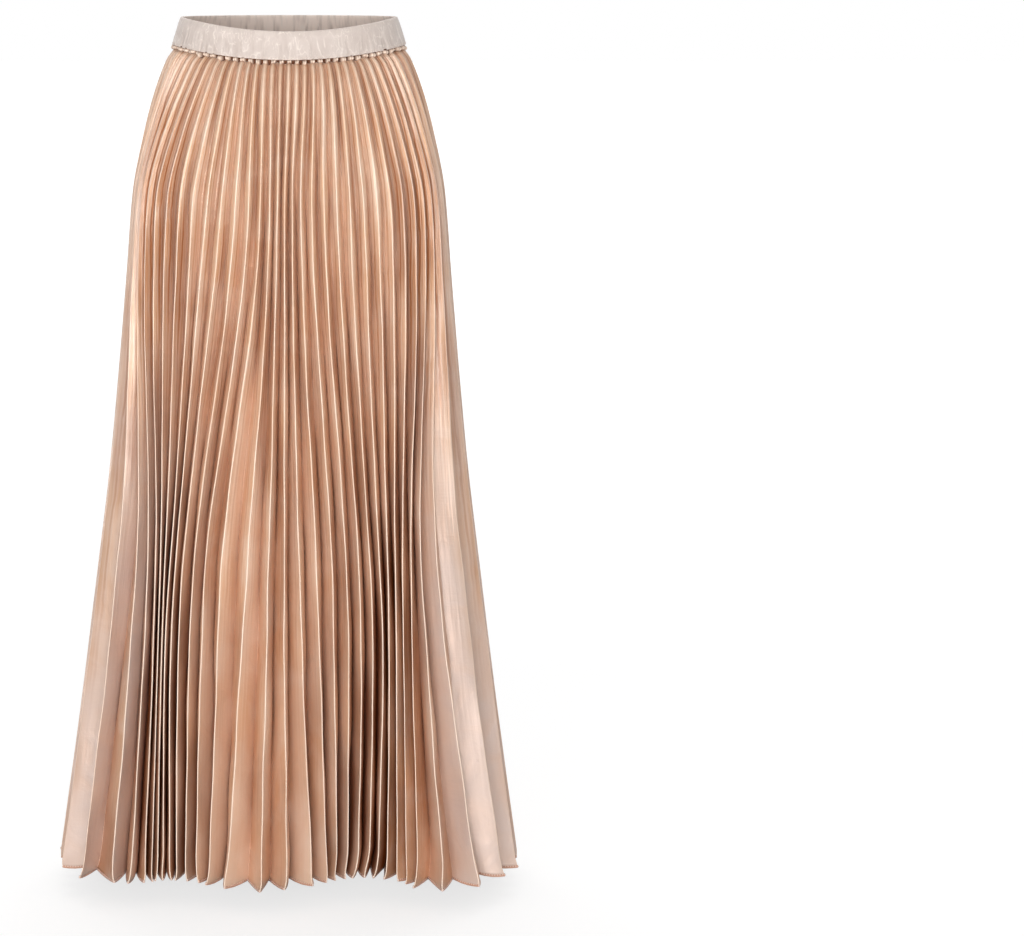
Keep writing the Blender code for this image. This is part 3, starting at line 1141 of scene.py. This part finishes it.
    def pleat_map(self, share: Grid, drops: Grid) -> Grid:
        """A map that follows the pleats: 20 mm across for a face, wherever it is.

        Args:
            share: Share from the outer fold, shape (rows, columns).
            drops: Drops of the rows.

        Returns:
            The map, shape (rows, columns, 2).
        """
        across = running_sum(np.maximum(np.abs(np.diff(share, axis=1)), 0.01))
        return stacked(across * self.map_across, drops[:, None])

    def flank(self, points: Grid, start: float, over: float) -> Grid:
        """A mask that grows from 0 to 1 towards the sides.

        Args:
            points: The sheet's points.
            start: Share of the row's half width where it starts.
            over: Share of the half width that it takes to reach 1.

        Returns:
            The mask, shape (rows, columns).
        """
        return smooth_step((np.abs(across_row(points)) - start) / over)

    def turned(self, points: Grid) -> Grid:
        """How far the faces turn to the middle of the skirt, where the light comes from.

        With a the angle by which a face turns to the middle, it grows from a = -45 to -5
        degrees.

        Args:
            points: The sheet's points.

        Returns:
            The turn, 0 to 1.
        """
        step = np.gradient(points[..., :2], axis=1)
        out = step[..., 1] * self.side.value * np.sign(points[..., 0] * step[..., 0])
        turn = np.degrees(np.arctan2(out, np.abs(step[..., 0]) + 1e-9))
        return smooth_step((turn + 45) / 40)

    def bloom(self, points: Grid, drops: Grid) -> Grid:
        """Grey-pink painted sheen on the faces that turn to the middle of the skirt.

        It is strongest on the wide panels at the sides low down and on the hips' edges.

        Args:
            points: The sheet's points.
            drops: Drops of the rows.

        Returns:
            The painted sheen, 0 to 1.
        """
        turned = self.turned(points)
        low = by_row(drops, (0.3, 0.62), (0, 1))
        hips = by_row(drops, (0.05, 0.2, 0.4, 0.6), (0.3, 1, 0.8, 0))
        panels = (0.08 + 0.92 * turned) * self.flank(points, 0.58, 0.22) * low
        edges = 0.6 * self.flank(points, 0.90, 0.08) * hips
        return np.clip(panels + 0.12 * turned * low + edges, 0, 1)

    def painted_face_light(self, points: Grid, share: Grid, drops: Grid) -> Grid:
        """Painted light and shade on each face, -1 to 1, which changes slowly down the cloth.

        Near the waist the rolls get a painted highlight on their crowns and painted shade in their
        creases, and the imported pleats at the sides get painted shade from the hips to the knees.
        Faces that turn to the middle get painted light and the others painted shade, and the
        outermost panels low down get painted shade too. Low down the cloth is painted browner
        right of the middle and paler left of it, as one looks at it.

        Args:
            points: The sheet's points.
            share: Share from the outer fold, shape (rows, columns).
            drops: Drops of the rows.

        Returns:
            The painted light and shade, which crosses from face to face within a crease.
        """
        face = np.arange(share.shape[1]) / self.face_columns
        this, after = (ripple(np.floor(face + k) * 1.37 + self.side.value, drops[:, None] * 0.55)
                       for k in (0, 1))
        tone = 0.85 * blend(this, after, smooth_step((face % 1.0 - 0.7) / 0.3)[None])
        crown = 0.6 * ((1 - share) ** 2 - share ** 3) * by_row(drops, (0.2, 0.6), (1, 0))
        hips = hump(drops, self.hip_drop, self.shade_spread) \
            + 0.8 * hump(drops, self.knee_drop, self.shade_spread)
        shaded = self.flank(points, 0.55, 0.2) * (1 - self.flank(points, 0.93, 0.06))
        shaded = shaded * hips[:, None]
        low = by_row(drops, (0.35, 0.6), (0, 1))
        edge = self.flank(points, 0.90, 0.06) * low
        across = -self.side.value * across_row(points)
        lit = low * (0.35 * hump(across, -0.22, 0.16) - 0.5 * hump(across, 0.40, 0.16))
        reach = (0.45 + 0.35 * self.flank(points, 0.5, 0.2)) * by_row(drops, (0.12, 0.42), (0, 1))
        lit = lit + reach * (2 * self.turned(points) - 1)
        lit = lit + by_row(drops, (0.35, 0.55, 0.9), (-0.16, 0.08, 0.24))
        return np.clip((tone + lit) * (1 - edge) + crown - 1.6 * shaded - 0.6 * edge, -1, 1)

    def tightness(self, points: Grid, share: Grid, drops: Grid) -> Grid:
        """How tightly the pleats are packed, 0 where they stand open and 1 where they close, which
        sets the strength of the painted shade in the creases.

        Args:
            points: The sheet's points.
            share: Share from the outer fold, shape (rows, columns).
            drops: Drops of the rows.

        Returns:
            The packing at each point, from the gap between neighbouring outer folds.
        """
        at = self.face_columns * (1 + 2 * np.arange(len(self.folds)))
        ridges = points[:, at]
        gap = np.linalg.norm(np.diff(ridges, axis=1), axis=-1)
        packed = smooth_step((2 * self.plan.pleat_face(drops)[:, None] / gap - 3.0) / 5.0)
        packed = packed * self.plan.opened(drops)[:, None]
        sides = np.abs(across_row(ridges))[:, :-1]
        # The sides of the hips count as packed, which paints shade into their creases.
        hips = hump(drops, self.hip_drop, self.shade_spread)[:, None]
        hips = hips * smooth_step((sides - 0.55) / 0.2) * (1 - smooth_step((sides - 0.93) / 0.06))
        packed = np.maximum(packed, 0.7 * hips)
        middle = (at[1:] + at[:-1]) / 2
        every = np.arange(share.shape[1])
        low = np.clip(np.searchsorted(middle, every) - 1, 0, len(middle) - 2)
        t = np.clip((every - middle[low]) / (middle[low + 1] - middle[low]), 0, 1)
        return blend(packed[:, low], packed[:, low + 1], t[None])

    def build_hem(self) -> bpy.types.Object:
        """Make the rolled hem: a flat rounded edge carried along the sheet's last row.

        Returns:
            The hem's object.
        """
        points, share, _, along = self.surface()
        path = points[-1]
        ahead = unit(np.gradient(path, axis=0))
        up = np.zeros_like(path)
        up[:, 2] = 1.0
        out = unit(np.cross(ahead, up))
        bearing = np.arange(10) / 10 * 2 * math.pi
        thick = self.hem_thick / 2 * np.cos(bearing)
        high = self.hem_high / 2 * (1 + np.sin(bearing)) - 0.0004
        skin = path[None] + out[None] * thick[:, None, None] + up[None] * high[:, None, None]
        skin = np.concatenate([skin, skin[:1]])[::-1]
        shape = skin.shape[:2]
        uv = stacked(along[-1], np.linspace(0, self.hem_round, shape[0])[:, None])
        level = np.append(np.sin(bearing), np.sin(bearing[0]))[::-1]
        stitch = np.broadcast_to(smooth_step((level[:, None] + 0.1) / 0.6), shape)
        # Paler where an outer fold meets the hem, a painted highlight, and along the roll's
        # underside
        edge = np.broadcast_to((share[-1] == 0.0) * 0.5 + (level[:, None] < -0.6) * 0.9, shape)
        return ClothMesh(f"{self.label}_rolled_hem", skin, grid_faces(*shape, False, False),
                         {"cloth": uv}, {"stitch": stitch, "edge": edge}).build()


@dataclass
class GatheredHeads:
    """The pinched heads of the pleats, a row of small paired beads under the waistband."""

    side: Side
    beads: int
    per_bead: int = 14  # columns
    rows: int = 12
    high: float = 0.0062
    tucked: float = 0.0014  # height that is tucked into the casing
    above_seam: float = 0.0032
    stand: float = 0.0026  # how far a bead stands out
    sunk: float = 0.0030  # how far the gaps between beads lie back
    flare: float = 0.0030
    half_round: float = 0.36
    cloth: float = 0.0004

    def build(self) -> bpy.types.Object:
        """Make the row of beads, one to a pleat.

        A bead stands out by stand * c * sin(pi v)^0.6, where v runs down the bead, below the
        part tucked into the casing, and c, over the pleat's width t, is a plateau between
        dark gaps with a notch in its middle.

        Returns:
            The object.
        """
        front = self.side is Side.FRONT
        seed = 5 if front else 9
        around = np.linspace(0.0, 1.0, self.beads * self.per_bead + 1)[None, :]
        down = np.linspace(0.0, 1.0, self.rows)[:, None]
        noise = [wrapped_noise(around, np.zeros(1), (self.beads * k, 1), seed + k)
                 for k in (1, 2, 3)]
        t = (around * self.beads) % 1.0
        gap = smooth_step((t - 0.19 - 0.05 * noise[2]) / (0.15 + 0.06 * noise[0]))
        gap = gap * smooth_step((0.84 + 0.05 * noise[0] - t) / (0.15 + 0.06 * noise[1]))
        lobe = gap * (1 - 0.6 * hump(t, 0.5 + 0.1 * noise[0], 0.07))
        length = self.high * (1 + 0.25 * noise[1] + 0.2 * noise[2])
        below = np.clip((down * self.high - self.tucked) / (self.high - self.tucked), 0, 1)
        round_down = np.sin(math.pi * below) ** 0.6
        out = self.stand * (1 + 0.3 * noise[2]) * lobe * round_down
        out = out - self.sunk * (0.3 + 0.9 * (1 - gap) + 1.2 * down ** 2) + self.flare * down
        bearing = waist_bearing(around)
        half, front_depth, back_depth = BAND_RINGS[-1, 1:]
        depth = front_depth if front else back_depth
        z = SEAM_Z + self.above_seam - length * down
        if front:
            z = z - front_dip((1 - np.cos(bearing)) / 2)
        facing = self.side.value
        points = stacked(facing * (half + out) * np.cos(bearing),
                         facing * (depth + out) * np.sin(bearing), z)
        shape = points.shape[:2]
        uv = stacked(around * self.half_round, down * self.high)
        # Painted light on the beads: a highlight line and painted sheen where they stand out, and
        # painted shade in the gaps
        lit = lobe * round_down
        flat = np.zeros(shape)
        values = {"ridge": 0.9 * lit, "valley": flat, "depth": 1 - lit ** 1.5,
                  "tight": np.ones(shape), "tone": flat, "fine": flat, "bloom": 0.4 * lit}
        return ClothMesh(f"{self.side.name.lower()}_gathered_heads", points,
                         grid_faces(*shape, False, False), {"cloth": uv, "pleats": uv},
                         values, self.cloth).build()


@dataclass
class Waistband:
    """The elastic waistband: a closed ring of crinkled casing with a stitch line."""

    columns: int = 1600
    wall: float = 0.0024
    outer_rows: int = 40
    inner_rows: int = 10
    end_rows: int = 3
    ends_above_seam: float = 0.0018
    stitch_above_seam: float = 0.0042
    stitch_pitch: float = 0.0031
    stitch_long: float = 0.0021
    stitch_thick: float = 0.00034
    round_outside: float = 0.72

    def profile(self) -> tuple[Grid, Grid, Grid]:
        """The wall's cross section, from the rim down outside and up inside.

        Returns:
            Drop below the rim, offset outwards from the middle of the wall, and 1 on the
            outer face, 0 on the inner one, for each point.
        """
        r = self.wall / 2
        turn = np.linspace(0, math.pi, self.end_rows + 2)[1:-1]
        end = BAND_HEIGHT - self.ends_above_seam - r
        outer = np.linspace(r, end, self.outer_rows)
        inner = np.linspace(end, r, self.inner_rows)
        drop = np.concatenate([outer, end + r * np.sin(turn),
                               inner, r - r * np.sin(turn)])
        offset = np.concatenate([np.full(self.outer_rows, r), r * np.cos(turn),
                                 np.full(self.inner_rows, -r), -r * np.cos(turn)])
        outside = np.concatenate([np.ones(self.outer_rows), (1 + np.cos(turn)) / 2,
                                  np.zeros(self.inner_rows), (1 - np.cos(turn)) / 2])
        return drop, offset, outside

    def crinkles(self, around: Grid, drop: Grid) -> tuple[Grid, Grid, Grid]:
        """Relief of the casing outside.

        Puckers are noise drawn out along the height, deepest at the seam. Crinkles are the
        thin lines where another noise passes 0: exp(-(n / 0.085)^2).

        Args:
            around: Share of the way round, shape (1, columns).
            drop: Drop below the rim, shape (rows, 1).

        Returns:
            Height in metres, crinkle lines painted as highlights, and painted pucker shade, 0 to
            1.
        """
        down = drop / BAND_HEIGHT
        low = smooth_step((down - 0.25) / 0.5)
        slant = around + 0.010 * (down - 0.5) * wrapped_noise(around, down * 0, (14, 1), 20)
        pucker = wrapped_noise(slant, down, (210, 2), 21)
        fine = wrapped_noise(slant, down, (430, 4), 22)
        broad = wrapped_noise(around, down, (40, 2), 23)
        bent = slant + 0.0022 * wrapped_noise(around, down, (150, 7), 24)
        web = wrapped_noise(bent, down, (330, 3), 25)
        web = web + 0.45 * wrapped_noise(bent, down, (260, 10), 26)
        patch = smooth_step(0.55 + 1.2 * wrapped_noise(around, down, (90, 4), 27))
        # The crinkle lines, along the web and the puckers' edges, are raised and painted cream as
        # highlights
        line = hump(web, 0.0, 0.085) * blend(0.8, 0.5, low) * patch
        drawn = 0.6 * hump(pucker, 0.1, 0.06) * smooth_step((down - 0.1) / 0.4)
        height = 0.00050 * blend(0.35, 1.0, low) * pucker + 0.00022 * low * fine \
            + 0.00045 * broad + 0.00022 * line + 0.00016 * drawn
        # Painted shade in the puckers' hollows
        shade = np.clip(-0.9 * pucker - 0.6 * fine, 0, 1) * blend(0.4, 0.9, low)
        return height, np.clip(line + drawn, 0, 1), shade

    def place(self, around: Grid, drop: Grid, offset: Grid) -> Grid:
        """Points at a share of the way round, a drop below the rim and an offset outwards.

        Round an oval: x = -(w + o) cos a, y = -(d + o) sin a, with the front's depth where
        sin a is above 0. The front lies lower by the waist's dip.

        Args:
            around: Share of the way round, starting at the wearer's right.
            drop: Drop below the rim.
            offset: Offset outwards from the middle of the wall.

        Returns:
            Points, with the shape of the three together and 3 at the end.
        """
        around, drop, offset = np.broadcast_arrays(around, drop, offset)
        ring = smooth_through(BAND_RINGS[:, 0], BAND_RINGS[:, 1:], drop.ravel())
        half, front, back = (ring[:, k].reshape(drop.shape) for k in range(3))
        bearing = 2 * math.pi * around
        depth = np.where(np.sin(bearing) > 0, front, back)
        x = -(half - 0.0004 + offset) * np.cos(bearing)
        y = -(depth - 0.0004 + offset) * np.sin(bearing)
        dip = np.where(y < 0, front_dip((1 - np.cos(bearing)) / 2), 0.0)
        return stacked(x, y, RIM_Z - drop - dip)

    def build(self) -> bpy.types.Object:
        """Make the casing as one closed skin.

        Returns:
            The object.
        """
        drop, offset, outside = self.profile()
        around = (np.arange(self.columns) / self.columns)[None, :]
        height, line, shade = self.crinkles(around, drop[:, None])
        face = outside[:, None]
        relief = height * (face - 0.6 * (1 - face))
        points = self.place(around, drop[:, None], offset[:, None] + relief)
        length = np.concatenate([[0], np.cumsum(np.hypot(np.diff(drop), np.diff(offset)))])
        # Painted light: cream highlight lines, pucker shade, and the inner face that takes a paler
        # colour
        values = {
            "crinkle": line * blend(0.9, 0.75, face),
            "pucker": shade * blend(1.0, 0.6, face),
            "inner": 1 - face + 0 * line,
        }
        return ClothMesh("waistband_casing", points, grid_faces(*line.shape, True, True),
                         {"cloth": stacked(around * CASING_ROUND, length[:, None])},
                         values).build()

    def build_stitches(self) -> bpy.types.Object:
        """Make the stitch line just above the waist seam.

        Each stitch is a small pod: a circle of radius r sin(pi t) swept along the casing.

        Returns:
            The object that holds every stitch.
        """
        count = int(self.round_outside / self.stitch_pitch)
        start = np.arange(count)[:, None, None] / count
        t = np.linspace(0.02, 0.98, 6)[None, :, None]
        turn = np.linspace(0, 2 * math.pi, 6, endpoint=False)[None, None, :]
        around = start + t * self.stitch_long / self.round_outside
        r = self.stitch_thick * np.sin(math.pi * t) ** 0.5
        drop = BAND_HEIGHT - self.stitch_above_seam + r * np.sin(turn)
        height = self.crinkles(around, drop)[0]
        offset = self.wall / 2 + height + 0.0001 + r * np.cos(turn)
        points = self.place(around, drop, offset)
        one = grid_faces(6, 6, False, True)
        caps = np.array([[0, 1, 2, 3], [0, 3, 4, 5], [33, 32, 31, 30], [35, 34, 33, 30]])
        quads = (np.concatenate([one, caps])[None] + 36 * np.arange(count)[:, None, None])
        uv = stacked(around * self.round_outside, drop)
        return ClothMesh("waistband_stitches", points.reshape(-1, 6, 3), quads.reshape(-1, 4),
                         {"cloth": uv.reshape(-1, 6, 2)}).build()


# ---------------------------------------------------------------- studio


@dataclass
class Studio:
    """Pale floor, soft light and the camera at the photograph's viewing angle."""

    floor_z: float = -0.976
    floor_size: float = 60.0
    camera_at: tuple[float, float, float] = (0.0, -4.0, 0.0915)
    tilt_down: float = 8.35
    lens: float = 124.34
    shift: float = 0.2178
    sky_before: float = 0.40
    sky_behind: float = 1.0

    def floor(self) -> bpy.types.Object:
        """Lay the floor, which shines to the camera, more far away, so that it stays pale.

        Returns:
            The floor's object.
        """
        half = self.floor_size / 2
        corners = [(-half, -half), (half, -half), (half, half), (-half, half)]
        mesh = bpy.data.meshes.new("studio_floor")
        mesh.from_pydata([(x, y, self.floor_z) for x, y in corners], [], [(0, 1, 2, 3)])
        floor = bpy.data.objects.new("studio_floor", mesh)
        bpy.context.scene.collection.objects.link(floor)
        material, sheet, shader = Finish("studio_paper", (0.8, 0.8, 0.8, 1.0), 0.9).start()
        sheet.constants(shader, {"Roughness": 0.9, "Specular IOR Level": 0.0,
                                 "Emission Color": (1.0, 1.0, 1.0, 1.0)})
        seen = sheet.add("ShaderNodeLightPath").outputs["Is Camera Ray"]
        paper = sheet.mix(seen, (0.75, 0.75, 0.75, 1.0), (0.34, 0.34, 0.34, 1.0))
        sheet.feed(shader.inputs["Base Color"], paper)
        reach = sheet.add("ShaderNodeVectorMath", operation="LENGTH")
        sheet.feed(reach.inputs[0], sheet.place())
        glow = sheet.ramp(reach.outputs["Value"], 1.6, 7.0, (0.72, 1.0))
        sheet.feed(shader.inputs["Emission Strength"], sheet.times(seen, glow))
        mesh.materials.append(material)
        return floor

    def world(self) -> None:
        """Light the scene with a pale sky, brighter behind the skirt than before it."""
        world = bpy.data.worlds.new("studio_air")
        world.use_nodes = True
        sheet = Sheet(world.node_tree)
        sky = world.node_tree.nodes["Background"]
        sky.inputs["Color"].default_value = (1.0, 1.0, 1.0, 1.0)
        seen = sheet.add("ShaderNodeLightPath").outputs["Is Camera Ray"]
        way = sheet.add("ShaderNodeSeparateXYZ")
        sheet.feed(way.inputs[0], sheet.add("ShaderNodeTexCoord").outputs["Generated"])
        glow = sheet.ramp(way.outputs["Y"], -0.1, 0.9, (self.sky_before, self.sky_behind))
        sheet.feed(sky.inputs["Strength"], sheet.larger(glow, seen))
        bpy.context.scene.world = world

    def softbox(self, name: str, at: tuple[float, float, float], size: tuple[float, float],
                power: float) -> None:
        """Hang a softbox that points at the skirt's middle.

        Args:
            name: The light's name.
            at: Where it hangs.
            size: Its width and height.
            power: Its power in watts.
        """
        light = bpy.data.lights.new(name, "AREA")
        light.shape = "RECTANGLE"
        light.size, light.size_y = size
        light.energy = power
        box = bpy.data.objects.new(name, light)
        box.location = at
        aim = Vector((0.0, 0.0, -0.45)) - Vector(at)
        box.rotation_euler = aim.to_track_quat("-Z", "Y").to_euler()
        box.visible_camera = False
        bpy.context.scene.collection.objects.link(box)

    def camera(self) -> None:
        """Set up the camera, level from side to side and tilted down."""
        data = bpy.data.cameras.new("photo_camera")
        data.sensor_width = 36.0
        data.lens = self.lens
        data.shift_x = self.shift
        data.clip_end = 400.0
        camera = bpy.data.objects.new("photo_camera", data)
        camera.location = self.camera_at
        camera.rotation_euler = (math.radians(90 - self.tilt_down), 0.0, 0.0)
        bpy.context.scene.collection.objects.link(camera)
        bpy.context.scene.camera = camera

    def build(self) -> None:
        """Set the whole studio up."""
        self.floor()
        self.world()
        self.softbox("key_softbox", (-0.4, -3.8, -0.4), (2.4, 2.0), 143.0)
        self.softbox("top_softbox", (0.0, 1.6, 3.0), (2.4, 1.4), 44.0)
        scene = bpy.context.scene
        scene.view_settings.view_transform = "Standard"
        scene.view_settings.look = "None"
        self.camera()


# ---------------------------------------------------------------- assembly


def dress(piece: bpy.types.Object, material: bpy.types.Material) -> None:
    """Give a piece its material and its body.

    Args:
        piece: The new piece.
        material: Its finish.
    """
    piece.data.materials.append(material)
    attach(piece, "root")


def build_panel(side: Side, folds: Grid, plan: SkirtPlan, satin: bpy.types.Material,
                edge: bpy.types.Material, gathered: bpy.types.Material) -> None:
    """Build one side of the skirt and dress its pieces.

    Args:
        side: Front or back.
        folds: Its fold table.
        plan: The shared sizes.
        satin: The pleats' finish.
        edge: The hem's finish.
        gathered: The finish of the pinched heads.
    """
    panel = PleatedPanel(side, folds, plan)
    cloth, width, area = panel.build()
    hem = panel.build_hem()
    heads = GatheredHeads(side, len(folds)).build()
    dress(cloth, satin)
    dress(hem, edge)
    dress(heads, gathered)
    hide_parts(f"skirt_{panel.label}")
    LOG.info("%s sheet: %.2f m along the hem, %.2f square metres", panel.label, width, area)


def build_waistband(effects: Effects) -> None:
    """Args:
        effects: The shared node groups.
    """
    band = Waistband()
    casing = band.build()
    stitches = band.build_stitches()
    dress(casing, CrinkledCasing().dress(effects))
    dress(stitches, SewingThread().dress(effects))
    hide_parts("waistband")


def main() -> None:
    """Build every piece in order, then the studio."""
    logging.basicConfig(level=logging.INFO, format="%(name)s: %(message)s")
    effects = Effects()
    satin = PleatedSatin().dress(effects)
    edge = RolledEdge().dress(effects)
    gathered = PleatedSatin("gathered_satin", deep=GATHERED_GAP_SHADE).dress(effects)
    plan = SkirtPlan()
    build_waistband(effects)
    build_panel(Side.FRONT, FRONT_FOLDS, plan, satin, edge, gathered)
    build_panel(Side.BACK, BACK_FOLDS, plan, satin, edge, gathered)
    Studio().build()


if __name__ == "__main__":
    main()
